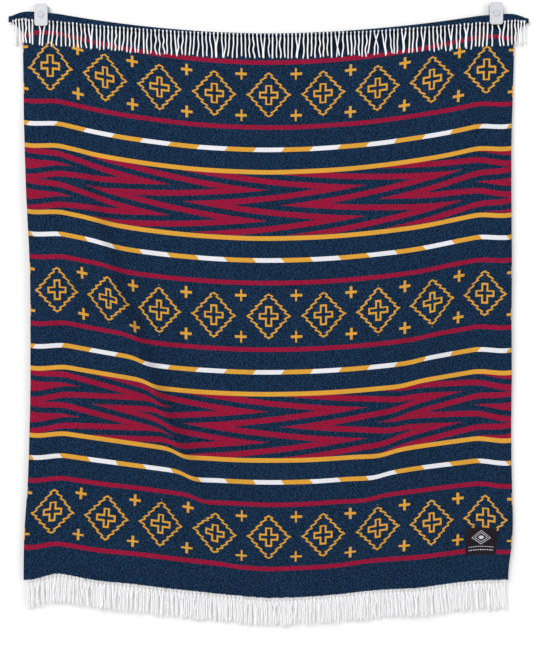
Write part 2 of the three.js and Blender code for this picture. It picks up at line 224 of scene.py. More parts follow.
# Stage: the floor, the wall panel, the lights, and the real size of the photograph's height where
# the cloth hangs
FLOOR_RADIUS = 2.6
PANEL_HALF = 1.3
PANEL_TOP = 0.8
PANEL_BEHIND = 0.0006
KEY_PLACE = (-1.7, -4.6, 0.8)
KEY_SIZE = 2.4
FILL_PLACE = (2.6, -3.6, -0.6)
FILL_SIZE = 2.0
PICTURE_HEIGHT = 1.809
SENSOR = 36.0


def paint(red, green, blue):
    """Linear colour of an 8-bit display colour."""
    shares = np.array([red, green, blue]) / 255
    linear = np.where(shares <= 0.04045, shares / 12.92, ((shares + 0.055) / 1.055) ** 2.4)
    return tuple(float(share) for share in linear)


def colour(name, description, red, green, blue):
    """A colour property whose default is an 8-bit display colour."""
    return FloatVectorProperty(
        name=name, description=description, subtype="COLOR", size=3, min=0.0, max=1.0,
        default=paint(red, green, blue),
    )


def size(name, description, default):
    """A length property in metres."""
    return FloatProperty(
        name=name, description=description, default=default, min=0.0, unit="LENGTH", precision=4,
    )


def number(name, description, default, unit="NONE"):
    """A plain number property."""
    return FloatProperty(name=name, description=description, default=default, unit=unit)


class ClothSettings(bpy.types.PropertyGroup):
    """Thickness, stitches and colours of the woven cloth"""

    thickness: size("Thickness", "Thickness of the napped cloth", 0.003)
    stitch_width: size("Stitch width", "Width of one woven stitch", 0.0025)
    stitch_height: size("Stitch height", "Height of one woven stitch", 0.0018)
    nap: size("Nap", "Height of the brushed nap and weave", 0.0007)
    ground: colour("Ground", "Yarn of the ground and the hems", 11, 34, 57)
    red: colour("Red", "Yarn of the stripes and zigzags", 147, 6, 45)
    yellow: colour("Yellow", "Yarn of the stripes and motifs", 207, 151, 54)
    white: colour("White", "Yarn of the light dashes", 219, 219, 224)


class FringeSettings(bpy.types.PropertyGroup):
    """Strands of the two fringes"""

    strands: IntProperty(
        name="Strands", description="Strands along each end of the cloth", default=125, min=2,
    )
    width: size("Strand width", "Thickness of one twisted strand", 0.0042)
    top_length: size("Top length", "Length of the strands at the turned-over end", 0.064)
    bottom_length: size("Bottom length", "Length of the strands at the hem", 0.078)
    top_roots: size("Top roots", "Length in which loose yarns gather into a strand", 0.006)
    bottom_roots: size("Bottom roots", "Length in which loose yarns gather into a strand", 0.020)
    twist: size("Twist", "Length of one full turn of the twist", 0.012)
    yarn: colour("Yarn", "Colour of the strands", 250, 250, 251)


class LabelSettings(bpy.types.PropertyGroup):
    """Woven label with a plain ornament"""

    width: size("Width", "Width of the label", 0.088)
    height: size("Height", "Height of the label", 0.075)
    stitch_pitch: size("Stitch pitch", "Distance from one hem stitch to the next", 0.0036)
    tape: colour("Tape", "Ground of the label", 33, 24, 32)
    thread: colour("Thread", "Light thread of the ornament", 214, 214, 222)


class ClipSettings(bpy.types.PropertyGroup):
    """Moulded wall clips"""

    width: size("Width", "Width of the clip's plates", 0.037)
    height: size("Height", "Height of the clip's plates", 0.062)
    plastic: colour("Plastic", "Colour of the moulded plastic", 202, 203, 208)


class StageSettings(bpy.types.PropertyGroup):
    """Camera, light and plain surroundings"""

    camera_distance: size("Camera distance", "From the camera to where the cloth hangs", 3.0)
    camera_x: number("Camera X", "Sideways place of the camera", -0.0062, "LENGTH")
    camera_z: number("Camera Z", "Height of the camera", -0.8638, "LENGTH")
    floor_z: number("Floor Z", "Height of the floor", -2.4, "LENGTH")
    key_power: number("Key light", "Power of the large light at the upper left", 150.0, "POWER")
    fill_power: number("Fill light", "Power of the weak light at the right", 46.0, "POWER")
    room: number("Room light", "Strength of the even light from all sides", 0.5)
    surround: colour("Surround", "Colour of the floor and the wall panel", 243, 243, 243)


class BlanketSettings(bpy.types.PropertyGroup):
    """All settings of the hung blanket"""

    cloth: PointerProperty(type=ClothSettings)
    fringe: PointerProperty(type=FringeSettings)
    label: PointerProperty(type=LabelSettings)
    clip: PointerProperty(type=ClipSettings)
    stage: PointerProperty(type=StageSettings)


def smooth(x, low, high):
    """Smooth step: 0 up to low, 1 from high on, and 3 t^2 - 2 t^3 between them."""
    t = np.clip((x - low) / max(high - low, 1e-9), 0.0, 1.0)
    return t * t * (3 - 2 * t)


def by_side(u, name):
    """A value of the cloth's left or right side."""
    return np.where(u < 0, getattr(LEFT_SIDE, name), getattr(RIGHT_SIDE, name))


def corner_at(u):
    """How far a place is in the free corner outside a clip: 0 inside, 1 at the cloth's edge."""
    return smooth(np.abs(u) / HALF, CORNER_START, 1.0)


def turned_length(u):
    """Length of cloth that is turned over to the front: least in the middle, less at the corners."""
    turn = by_side(u, "turn") * (np.abs(u) / HALF) ** TURN_POWER
    return TURN_MIDDLE + turn - CORNER_TURN_LOSS * corner_at(u) ** CORNER_TURN_POWER


def clip_middle(side):
    """Sideways place and height of a clip, from its wall plate's solid."""
    low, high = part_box(f"clip_{side}_back")
    middle = (low + high) / 2
    return middle.x, middle.z


def crease(u, v, fold, clip_u, way):
    """One soft ridge below a clip: a bell across its line, wider with distance, faded at both ends."""
    down = v - turned_length(np.full_like(u, clip_u))
    across = (u - clip_u) * way
    along = across * math.sin(fold.turn) + down * math.cos(fold.turn)
    off = across * math.cos(fold.turn) - down * math.sin(fold.turn)
    reach = np.clip(along / fold.length, 0.0, 1.0)
    fade = smooth(along, 0.05, 0.16) * (1 - smooth(reach, 0.35, 1.0))
    return fold.height * fade * np.exp(-((off / (fold.width * (1 + 1.5 * reach))) ** 2))


def ripple(u, v):
    """Small unevenness towards the front: slow sine waves below the clips, and the clips' creases."""
    waves = sum(
        wave.height * np.sin(
            2 * math.pi * (u * math.cos(wave.direction) + v * math.sin(wave.direction)) / wave.length
            + wave.phase
        )
        for wave in RIPPLES
    )
    creases = sum(
        crease(u, v, fold, clip_middle(side)[0] / EASE, way)
        for side, way in (("left", 1), ("right", -1))
        for fold in CREASES
    )
    return waves * smooth(v, RIPPLE_FROM, RIPPLE_TO) + creases


def hang(u, v):
    """Middle of the hanging cloth's thickness.

    The cloth sags between the clips as a power of the distance from its middle and droops at its
    edges. Each fold adds a bell of its depth towards the front, draws the cloth beside it in by what
    its flanks take up, and gathers its tuck out of the bow of the sag into a step.
    """
    share = np.abs(u) / HALF
    corner = corner_at(u)
    sag = by_side(u, "sag") - by_side(u, "sag_loss") * (v / LENGTH) ** SAG_LOSS_POWER
    bow = share ** (SAG_POWER - HEM_POWER_LOSS * smooth(v, HEM_POWER_FROM, HEM_POWER_TO))
    near_top = np.exp(-((np.maximum(v - turned_length(u), 0) / CORNER_REACH) ** 2))
    hem_loss = (1 - by_side(u, "hem_droop")) * smooth(v, EDGE_HEM_FROM, LENGTH)
    droop = EDGE_DROOP * (1 - hem_loss) * smooth(share, DROOP_START, 1.0) * (1 - CORNER_HOLD * near_top)
    droop = droop + CORNER_TIP_DROOP * corner ** CORNER_TIP_POWER * near_top
    shoulder = by_side(u, "shoulder") * share ** 2 * (1 - smooth(share, SHOULDER_END, 1.0))
    shoulder = shoulder * np.exp(-(((v - SHOULDER_V) / SHOULDER_REACH) ** 2))
    drawn = sum(
        np.where(u < 0, waist.left, waist.right) * np.exp(-(((v - waist.v) / waist.reach) ** 2))
        for waist in WAISTS
    )
    x = EASE * u + np.sign(u) * (CORNER_FLARE * corner * near_top - drawn * share)
    y = CLIP_LAYER_Y - STAND_OFF * smooth(v, STAND_OFF_FROM, STAND_OFF_TO) - ripple(u, v)
    z = TOP_MIDDLE_Z - v + sag * bow + shoulder - droop + HEM_LIFT * smooth(v, HEM_LIFT_FROM, LENGTH)
    for fold in FOLDS:
        along = np.clip((v - fold.v_top) / (fold.v_end - fold.v_top), 0.0, 1.0)
        strength = smooth(along, 0, fold.fade_in) * (1 - smooth(along, 1 - fold.fade_out, 1))
        crest = fold.u_top + (fold.u_end - fold.u_top) * along ** fold.curl
        out = np.sign(crest)
        depth = fold.depth * strength
        off = (u - crest) * out
        width = np.where(off > 0, fold.outer, fold.inner)
        take = FLANK_TAKE * depth ** 2
        drawn_in = take / fold.inner * (1 + np.tanh(TAKE_SHARPNESS * off / fold.inner + 1))
        drawn_out = take / fold.outer * (1 + np.tanh(TAKE_SHARPNESS * off / fold.outer - 1))
        step = (1 + np.tanh(off / (TUCK_REACH * fold.inner))) / 2
        own_bow = np.where(u * out > 0, bow, 0.0)
        x = x - out * (drawn_in + drawn_out) / 2
        y = y - depth * np.exp(-((off / width) ** 2))
        z = z + fold.tuck * strength * along ** 2 * (step - own_bow)
    return np.stack([x, y, z], axis=-1)


def cloth_middle(u, v):
    """Middle of the cloth's thickness, its fringes included.

    Below the turn the cloth hangs. Above it, it runs round half a circle to the front and then
    straight down, a bend's diameter in front of the hanging cloth.
    """
    turned = turned_length(u)
    past = turned - v
    top = hang(u, turned)
    angle = np.clip(past / BEND_RADIUS, 0, math.pi)
    drop = np.maximum(past - BEND_LENGTH, 0)
    behind = hang(u, turned + drop)
    front = np.stack([
        top[..., 0],
        behind[..., 1] - BEND_RADIUS * (1 - np.cos(angle)),
        top[..., 2] + BEND_RADIUS * np.sin(angle) - drop,
    ], axis=-1)
    return np.where((past > 0)[..., None], front, hang(u, v))


def facing(u, v):
    """Unit direction that the cloth's face looks in: its downward slope crossed with its sideways one."""
    step = 1e-4
    across = cloth_middle(u + step, v) - cloth_middle(u - step, v)
    down = cloth_middle(u, v + step) - cloth_middle(u, v - step)
    normal = np.cross(down, across)
    return normal / np.linalg.norm(normal, axis=-1, keepdims=True)


def on_cloth(u, v, offset):
    """A place at some height over the middle of the cloth's thickness, towards its face."""
    u, v, offset = np.broadcast_arrays(u, v, offset)
    return cloth_middle(u, v) + facing(u, v) * offset[..., None]


# A mesh: its points, its quads, its other faces, and the map places of both kinds' corners
Shape = namedtuple("Shape", "points quads caps quad_map cap_map")
NO_CAPS = np.zeros((0, 3), int)
NO_MAP = np.zeros((0, 2))


def rim_stations(low, high, count, radius):
    """Even stations from low to high, with close ones along the rounded rim at both ends."""
    rim = radius * (1 - np.cos(ROUNDING_ANGLES))
    even = np.linspace(low + radius, high - radius, count)
    return np.concatenate([low + rim, even, (high - rim)[::-1]])


def rim_rounding(distance, radius):
    """Quarter circle: 0 on the rim, 1 from a radius inside it."""
    return np.sqrt(1 - (1 - np.clip(distance / radius, 0.0, 1.0)) ** 2)


def grid_quads(index):
    """Quads between the neighbours of a grid of point numbers, turning from row to column."""
    corners = [index[:-1, :-1], index[1:, :-1], index[1:, 1:], index[:-1, 1:]]
    return np.stack(corners, axis=-1).reshape(-1, 4)


def closed_sheet(face, back, map_x, map_y):
    """A closed thin sheet from two grids of places that meet along the rim, with its own map."""
    rows, columns = face.shape[:2]
    front_index = np.arange(rows * columns).reshape(rows, columns)
    back_index = front_index.copy()
    inner = (rows - 2) * (columns - 2)
    back_index[1:-1, 1:-1] = rows * columns + np.arange(inner).reshape(rows - 2, columns - 2)
    points = np.concatenate([face.reshape(-1, 3), back[1:-1, 1:-1].reshape(-1, 3)])
    quads = np.concatenate([grid_quads(front_index), grid_quads(back_index)[:, ::-1]])
    places = np.stack([map_x, map_y], axis=-1)
    places = np.concatenate([places.reshape(-1, 2), places[1:-1, 1:-1].reshape(-1, 2)])
    return Shape(points, quads, NO_CAPS, places[quads.ravel()], NO_MAP)


def capped(walls, firsts, lasts):
    """Points, quads and caps of rows of rings, with a point that closes each row at either end."""
    count, steps, sides = walls.shape[:3]
    index = np.arange(count * steps * sides).reshape(count, steps, sides)
    beside = np.roll(index, -1, axis=2)
    quads = np.stack([index[:, :-1], beside[:, :-1], beside[:, 1:], index[:, 1:]], axis=-1)
    pole = index.size + np.arange(count)[:, None] + np.zeros(sides, int)
    starts = np.stack([pole, beside[:, 0], index[:, 0]], axis=-1)
    ends = np.stack([pole + count, index[:, -1], beside[:, -1]], axis=-1)
    points = np.concatenate([walls.reshape(-1, 3), firsts, lasts])
    return points, quads.reshape(-1, 4), np.concatenate([starts, ends]).reshape(-1, 3)


def cloth_rows(u, radius):
    """Distance down the cloth for each row and column.

    Rows lie close along both rounded ends and round the bend, and evenly elsewhere.
    """
    turned = turned_length(u)
    flat_end = turned - BEND_LENGTH
    rim = (radius * (1 - np.cos(ROUNDING_ANGLES)))[:, None]
    counts = (TURN_ROWS, BEND_ROWS, HANG_ROWS)
    shares = [np.linspace(0, 1, count, endpoint=False)[:, None] for count in counts]
    even = np.zeros_like(u)
    return np.concatenate([
        rim + even,
        radius + (flat_end - radius) * shares[0],
        flat_end + BEND_LENGTH * shares[1],
        turned + (LENGTH - radius - turned) * shares[2],
        LENGTH - radius + even[None, :],
        LENGTH - rim[::-1] + even,
    ])


def tubes(paths, radii, sides):
    """Many closed tubes at once, with a map that runs round each and along its length in metres.

    Each path is a row of points. A ring of points lies across the path's direction at every step, and
    a point at each end closes the tube.
    """
    count, steps = paths.shape[:2]
    direction = np.gradient(paths, axis=1)
    direction = direction / np.linalg.norm(direction, axis=-1, keepdims=True)
    right = np.cross(direction, np.array([0.0, 1.0, 0.0]))
    right = right / np.linalg.norm(right, axis=-1, keepdims=True)
    front = np.cross(right, direction)
    turn = np.linspace(0, 2 * math.pi, sides, endpoint=False)
    ring = np.cos(turn)[:, None] * right[:, :, None] + np.sin(turn)[:, None] * front[:, :, None]
    walls = paths[:, :, None] + ring * radii[:, :, None, None]
    points, quads, caps = capped(walls, paths[:, 0], paths[:, -1])

    spans = np.linalg.norm(np.diff(paths, axis=1), axis=-1)
    along = np.concatenate([np.zeros((count, 1)), np.cumsum(spans, axis=1)], axis=1)
    grid = (count, steps, sides + 1)
    round_share = np.broadcast_to(np.arange(sides + 1) / sides, grid)
    places = np.stack([round_share, np.broadcast_to(along[:, :, None], grid)], axis=-1)
    upper, lower = places[:, :-1], places[:, 1:]
    quad_map = np.stack([upper[:, :, :-1], upper[:, :, 1:], lower[:, :, 1:], lower[:, :, :-1]], axis=-2)
    first, last = places[:, 0], places[:, -1]
    start_map = np.stack([first[:, :-1], first[:, 1:], first[:, :-1]], axis=-2)
    end_map = np.stack([last[:, :-1], last[:, :-1], last[:, 1:]], axis=-2)
    cap_map = np.concatenate([start_map, end_map])
    return Shape(points, quads, caps, quad_map.reshape(-1, 2), cap_map.reshape(-1, 2))


def joined(*shapes):
    """One shape from several."""
    starts = np.cumsum([0] + [len(shape.points) for shape in shapes])
    points, quads, caps, quad_maps, cap_maps = zip(*shapes)
    return Shape(
        np.concatenate(points),
        np.concatenate([faces + start for faces, start in zip(quads, starts)]),
        np.concatenate([faces + start for faces, start in zip(caps, starts)]),
        np.concatenate(quad_maps),
        np.concatenate(cap_maps),
    )


def new_piece(name, shape):
    """A smooth mesh object at the origin, with its corner map if it has one."""
    mesh = bpy.data.meshes.new(name)
    mesh.from_pydata(shape.points, [], shape.quads.tolist() + shape.caps.tolist())
    corners = np.concatenate([shape.quad_map, shape.cap_map])
    if len(corners):
        layer = mesh.uv_layers.new(name="map")
        layer.data.foreach_set("uv", corners.astype(np.float32).ravel())
    mesh.shade_smooth()
    if mesh.validate():
        raise RuntimeError(f"{name} has faces that aren't valid")
    piece = bpy.data.objects.new(name, mesh)
    bpy.context.scene.collection.objects.link(piece)
    return piece


def fit(piece, finish, slot, *nodes):
    """Gives a piece its finish, rides it on the part and lets it stand for its solids. Its slot is not
    used.
    """
    piece.data.materials.append(finish)
    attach(piece, "root")
    if nodes:
        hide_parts(*nodes)
    return piece


def math_node(operation, swapped=False):
    """A method that adds a Math node, with its two values swapped for a reflected form."""
    def method(self, other):
        return self.math(operation, *((other, self) if swapped else (self, other)))
    return method


class Signal:
    """One output of a node tree. Arithmetic on it adds Math nodes, and comparisons give masks."""

    __add__ = math_node("ADD")
    __radd__ = math_node("ADD", True)
    __sub__ = math_node("SUBTRACT")
    __rsub__ = math_node("SUBTRACT", True)
    __mul__ = math_node("MULTIPLY")
    __rmul__ = math_node("MULTIPLY", True)
    __truediv__ = math_node("DIVIDE")
    __rtruediv__ = math_node("DIVIDE", True)
    __lt__ = math_node("LESS_THAN")
    __gt__ = math_node("GREATER_THAN")
    __and__ = math_node("MULTIPLY")
    __or__ = math_node("MAXIMUM")
    least = math_node("MINIMUM")

    def __init__(self, finish, socket):
        self.finish = finish
        self.socket = socket

    def math(self, operation, *values):
        return self.finish.node("Math", {"operation": operation}, dict(enumerate(values)))

    def __abs__(self):
        return self.math("ABSOLUTE", self)

    def clamped(self):
        return self.math("MINIMUM", self.math("MAXIMUM", self, 0.0), 1.0)

    def floor(self):
        return self.math("FLOOR", self)

    def share(self):
        return self.math("FRACT", self)

    def sine(self):
        return self.math("SINE", self)

    def off(self, pitch):
        """Distance from the nearest multiple of a pitch."""
        return abs((self / pitch + 0.5).share() - 0.5) * pitch

    def step_to(self, pitch):
        """The middle of the step of a pitch that the value lies in."""
        return ((self / pitch).floor() + 0.5) * pitch


class Finish:
    """A material, or the world, under construction."""

    def __init__(self, owner):
        self.owner = owner
        owner.use_nodes = True
        self.tree = owner.node_tree
        self.tree.nodes.clear()

    def node(self, kind, settings=None, inputs=None, output=0):
        """Adds a node of a kind, sets it, then gives its sockets values or links."""
        made = self.tree.nodes.new("ShaderNode" + kind)
        for name, value in (settings or {}).items():
            setattr(made, name, value)
        for key, value in (inputs or {}).items():
            socket = made.inputs[key]
            if isinstance(value, Signal):
                self.tree.links.new(value.socket, socket)
            elif socket.type == "RGBA":
                socket.default_value = (*value, 1.0)
            else:
                socket.default_value = value
        return Signal(self, made.outputs[output]) if made.outputs else None

    def blend(self, share, first, second, how="MIX"):
        """A colour between two, by a share."""
        settings = {"data_type": "RGBA", "blend_type": how}
        return self.node("Mix", settings, {0: share, 6: first, 7: second}, 2)

    def map_places(self):
        """The two coordinates of the piece's own map."""
        place = self.node("UVMap", {"uv_map": "map"})
        return self.node("SeparateXYZ", None, {0: place}, 0), self.node("SeparateXYZ", None, {0: place}, 1)

    def at(self, x, y):
        """A vector of two coordinates."""
        return self.node("CombineXYZ", None, {0: x, 1: y})

    def speckle(self, place):
        """White noise: a new value for every step of a place."""
        return self.node("TexWhiteNoise", {"noise_dimensions": "2D"}, {"Vector": place}, "Value")

    def clouds(self, place, scale, detail=2.0):
        """Soft noise of a scale."""
        inputs = {"Vector": place, "Scale": scale, "Detail": detail}
        return self.node("TexNoise", {"noise_dimensions": "3D"}, inputs, "Fac")

    def raised(self, height, distance, strength=1.0):
        """A bumped normal from a height between 0 and 1."""
        return self.node("Bump", None, {"Height": height, "Distance": distance, "Strength": strength})

    def surface(self, base, roughness, normal, **constants):
        """Ends the tree in a Principled surface, its constants on the shader's own sockets."""
        inputs = {"Base Color": base, "Roughness": roughness, "Normal": normal}
        inputs.update({name.replace("_", " "): value for name, value in constants.items()})
        self.end(self.node("BsdfPrincipled", None, inputs))
        return self.owner

    def end(self, shader):
        kind = "OutputWorld" if isinstance(self.owner, bpy.types.World) else "OutputMaterial"
        self.node(kind, None, {"Surface": shader})


def tinted(tone, share):
    """A tone made deeper or paler by a share."""
    return tuple(part * share for part in tone)


def diamond_motifs(u, w):
    """Mask of the motif rows: toothed diamonds around hollow crosses, and small crosses between them.

    A diamond's side is a stroke at 45 degrees whose place steps outwards as a saw tooth. All of it is
    mirrored about the row's middle and each motif's middle.
    """
    side, tall = 0.063, 1.09
    tooth, tooth_rise, tooth_inset = 0.0181, 0.0056, 0.0040
    stroke, jog = 0.0021, 0.0014
    small_cross_place = 0.058

    def cross(across, down, wide, high, bar, post):
        """A cross of a level bar and an upright post, by half their lengths and half their widths."""
        return ((across < wide) & (down < bar)) | ((across < post) & (down < high))

    across = u.off(MOTIF_PITCH)
    down = w.least(abs(w - MOTIF_ROW))
    beyond = (across + down / tall - side) / math.sqrt(2)
    along = (down / tall - across + side) / math.sqrt(2)
    saw = 0.5 - (along / tooth).share()
    steps = abs(beyond + tooth_inset - saw * tooth_rise) < stroke
    jogs = (along.off(tooth) < jog) & (abs(beyond + tooth_inset) < tooth_rise / 2 + stroke)
    outside = cross(across, down, 0.0278, 0.0282, 0.0093, 0.0095)
    inside = cross(across, down, 0.0228, 0.0236, 0.0046, 0.0045)
    between = (u + MOTIF_PITCH / 2).off(MOTIF_PITCH)
    small = cross(between, abs(down - small_cross_place), 0.0160, 0.0160, 0.0034, 0.0034)
    return steps | jogs | (outside & (1 - inside)) | small


def zigzags(u, w):
    """Mask of the two wide bands: long flames, a stripe across whose place swings to and fro down."""
    band = abs(w - ZIGZAG_PLACE) < ZIGZAG_HALF
    swing = abs(((ZIGZAG_TOP - w) / ZIGZAG_RISE).share() * 2 - 1)
    flame = (u / ZIGZAG_RUN + swing * ZIGZAG_REACH + 0.5).share() < 0.5
    return band & flame


def stripes(w, places):
    """Mask of stripes at distances from the cloth's middle."""
    masks = [abs(w - place) < STRIPE / 2 for place in places]
    total = masks[0]
    for mask in masks[1:]:
        total = total | mask
    return total


def dashes(u, w, row):
    """Masks of a dashed stripe and of its light dashes, whose ends slant."""
    light = (u - (w - row.place) * row.slant).off(DASH_PITCH) < DASH_WHITE / 2
    return stripes(w, [row.place]), light


def wool_finish(cloth):
    """Napped woven wool: the banded pattern stepped by stitches, heathered yarn, weave and nap, and a
    painted shadow on the face under the top fringe.
    """
    grain_scale, grain_drawn_out, fibre_scale, patch_scale = 430.0, 0.45, 420.0, 9.0
    fleck_above, float_below = 0.965, 0.93
    other_place = (71.3, 17.9)
    finish = Finish(bpy.data.materials.new("napped_wool"))
    map_x, map_y = finish.map_places()
    fine_u = (map_x - 0.5) * WIDTH
    fine_v = (1 - map_y) * LENGTH
    u = fine_u.step_to(cloth.stitch_width)
    v = fine_v.step_to(cloth.stitch_height)
    w = abs(v - MIDDLE)

    column = (fine_u / cloth.stitch_width).floor()
    row = (fine_v / cloth.stitch_height).floor()
    stitch = finish.speckle(finish.at(column, row))
    other_stitch = finish.speckle(finish.at(column + other_place[0], row + other_place[1]))
    place = finish.at(fine_u, fine_v)
    fibre = finish.clouds(place, fibre_scale, 3.0)
    patch = finish.clouds(place, patch_scale, 3.0)
    grain = finish.clouds(finish.at(fine_u * grain_drawn_out, fine_v), grain_scale, 2.0)
    even = stitch * 0.6 + fibre * 0.4
    flecks = (other_stitch > fleck_above) * 0.7
    flecked = ((grain - 0.5) * 5.0 + (stitch - 0.5) * 1.1 + flecks + 0.30).clamped()
    floats = ((0.5 - grain) * 2.4 + (other_stitch < float_below) * 0.3 + 0.62).clamped()

    def heather(tone, deep, pale, share, lift=0.0):
        """Yarn of a tone, from its deeper to its paler fibres."""
        dark = tuple(part * deep for part in tone)
        light = tuple(min(part * pale + lift, 1.0) for part in tone)
        return finish.blend(share, dark, light)

    navy = heather(cloth.ground, 0.42, 2.45, flecked, 0.005)
    gold = heather(cloth.yellow, 0.86, 1.12, even)
    red = stripes(w, RED_STRIPES) | zigzags(u, w)
    yellow = stripes(w, YELLOW_STRIPES) | diamond_motifs(u, w)
    colours = finish.blend(red & floats, navy, heather(cloth.red, 0.78, 1.22, even))
    colours = finish.blend(yellow, colours, gold)
    for dashed in DASH_ROWS:
        stripe, light = dashes(u, w, dashed)
        colours = finish.blend(stripe, colours, gold)
        colours = finish.blend(stripe & light, colours, heather(cloth.white, 0.92, 1.06, even))

    side = finish.node("Attribute", {"attribute_name": "side"}, None, "Fac")
    colours = finish.blend((1 - side) * BACK_MUTED, colours, navy)
    # Painted shadow: the face is darkened near the top end, where the top fringe's strands hang over it
    painted_fringe_shadow = ((FRINGE_SHADOW_END - fine_v) / FRINGE_SHADOW_FADE).clamped() * side
    shade = (patch * 0.24 + 0.88) * (1 - painted_fringe_shadow * FRINGE_SHADOW_SHARE)
    grey = finish.node("CombineColor", None, {0: shade, 1: shade, 2: shade})
    colours = finish.blend(1.0, colours, grey, "MULTIPLY")

    turn = 2 * math.pi
    rib = (fine_u * (turn / cloth.stitch_width) + fine_v * (turn / (2 * cloth.stitch_height))).sine()
    height = rib * 0.12 + fibre * 0.5 + stitch * 0.2 + 0.2
    return finish.surface(
        colours, fibre * 0.12 + 0.84, finish.raised(height, cloth.nap),
        Sheen_Weight=0.04, Sheen_Roughness=0.45, Sheen_Tint=(0.75, 0.80, 0.90), Specular_IOR_Level=0.08,
    )


def yarn_finish(fringe):
    """Twisted yarn: two plies that wind round the strand, with painted shade in the grooves between them
    and fine fuzz.
    """
    finish = Finish(bpy.data.materials.new("twisted_yarn"))
    turn, along = finish.map_places()
    ply = ((turn * 2 + along / (fringe.twist / 2)) * (2 * math.pi)).sine() * 0.5 + 0.5
    place = finish.node("TexCoord", None, None, "Object")
    fuzz = finish.clouds(place, 900.0, 3.0)
    strand = finish.clouds(place, 60.0)
    # Painted shade: the grooves between the plies are coloured darker, mixed with random fuzz and strand
    # tone
    depth = ply * 0.55 + fuzz * 0.25 + strand * 0.3
    colours = finish.blend(depth, tinted(fringe.yarn, 0.9), tuple(fringe.yarn))
    return finish.surface(
        colours, fuzz * 0.1 + 0.82, finish.raised(ply * 0.7 + fuzz * 0.3, 0.0004),
        Sheen_Weight=0.1, Sheen_Roughness=0.5, Specular_IOR_Level=0.25,
    )


def label_finish(label):
    """Black woven tape with a plain ornament in light thread: nested diamonds, a rule and beads."""
    step_x, step_y = 0.0008, 0.0006
    rib_x, rib_y = 0.0011, 0.0014
    half_span, half_line, half_rule = 0.036, 0.0009, 0.0008
    lozenge_y, lozenge_lean, outer, inner, core = 0.0105, 0.72, 0.0190, 0.0130, 0.0062
    rule_y, beads_y, bead_pitch, bead_lean, bead = -0.0150, -0.0240, 0.0066, 1.2, 0.0024
    finish = Finish(bpy.data.materials.new("label_tape"))
    map_x, map_y = finish.map_places()
    x = ((map_x - 0.5) * label.width).step_to(step_x)
    y = ((map_y - 0.5) * label.height).step_to(step_y)
    reach = abs(x) * lozenge_lean + abs(y - lozenge_y)
    lozenges = (abs(reach - outer) < half_line) | (abs(reach - inner) < half_line) | (reach < core)
    rule = abs(y - rule_y) < half_rule
    beads = (x.off(bead_pitch) + abs(y - beads_y) * bead_lean) < bead
    thread = (lozenges | rule | beads) & (abs(x) < half_span)
    turn = 2 * math.pi
    rib = (map_x * (turn * label.width / rib_x)).sine() * (map_y * (turn * label.height / rib_y)).sine()
    fuzz = finish.clouds(finish.at(map_x * label.width, map_y * label.height), 700.0, 3.0)
    tape = finish.blend(rib * 0.25 + fuzz * 0.6, tinted(label.tape, 0.6), tuple(label.tape))
    pale = finish.blend(fuzz, tinted(label.thread, 0.7), tuple(label.thread))
    height = rib * 0.2 + thread * 0.5 + fuzz * 0.2
    return finish.surface(
        finish.blend(thread, tape, pale), 0.72 - thread * 0.15, finish.raised(height, 0.0004),
        Sheen_Weight=0.02, Specular_IOR_Level=0.12,
    )


def thread_finish(label):
    """Dark sewing thread, wound from fine filaments, with painted shade in the grooves between them."""
    twist, filaments = 0.0012, 3
    finish = Finish(bpy.data.materials.new("sewing_thread"))
    turn, along = finish.map_places()
    ply = ((turn * filaments + along / twist) * (2 * math.pi)).sine() * 0.5 + 0.5
    # Painted shade and light: the grooves of the twist are coloured darker and the filaments' crowns paler
    colours = finish.blend(ply, tinted(label.tape, 0.6), tinted(label.tape, 1.6))
    return finish.surface(colours, 0.6 - ply * 0.1, finish.raised(ply, 0.0002))


def plastic_finish(clip):
    """Moulded plastic: a fine moulded grain, faint clouding and a soft gloss."""
    finish = Finish(bpy.data.materials.new("moulded_plastic"))
    place = finish.node("TexCoord", None, None, "Object")
    grain = finish.clouds(place, 1400.0, 2.0)
    cloud = finish.clouds(place, 70.0, 3.0)
    colours = finish.blend(cloud, tinted(clip.plastic, 0.94), tuple(clip.plastic))
    return finish.surface(
        colours, cloud * 0.1 + 0.46, finish.raised(grain, 0.00015, 0.6), Specular_IOR_Level=0.3,
    )


def surround_finish(tone, one_sided):
    """Pale matt surface with a faint mottle. A one-sided one can't be seen from behind."""
    finish = Finish(bpy.data.materials.new("wall_panel" if one_sided else "floor"))
    place = finish.node("TexCoord", None, None, "Object")
    colours = finish.blend(finish.clouds(place, 3.0), tinted(tone, 0.985), tuple(tone))
    matt = finish.node("BsdfDiffuse", None, {"Color": colours})
    if one_sided:
        behind = finish.node("NewGeometry", None, None, "Backfacing")
        matt = finish.node("MixShader", None, {0: behind, 1: matt, 2: finish.node("BsdfTransparent")})
    finish.end(matt)
    return finish.owner


def rounded_outline(width, height, corner, steps=7):
    """Points round a rectangle with circular corners, anticlockwise as seen from the front."""
    quarter = math.pi / 2
    turn = np.linspace(0, quarter, steps) + quarter * np.arange(4)[:, None]
    right = np.array([[1], [-1], [-1], [1]])
    up = np.array([[1], [1], [-1], [-1]])
    x = right * (width / 2 - corner) + corner * np.cos(turn)
    z = up * (height / 2 - corner) + corner * np.sin(turn)
    return x.ravel(), z.ravel()


def moulded(width, height, corner, profile, place):
    """A closed moulding: a rounded outline carried through a profile, with a point closing each end.

    Each row of the profile is an inset from the outline and a place towards the front, from the back.
    """
    x0, y0, z0 = place
    least = 0.0002
    rings = []
    for inset, rise in profile:
        x, z = rounded_outline(width - 2 * inset, height - 2 * inset, max(corner - inset, least))
        rings.append(np.stack([x0 + x, np.full_like(x, y0 - rise), z0 + z], axis=-1))
    poles = [np.array([[x0, y0 - rise, z0]]) for rise in (profile[0][1], profile[-1][1])]
    return Shape(*capped(np.stack(rings)[None], *poles), NO_MAP, NO_MAP)


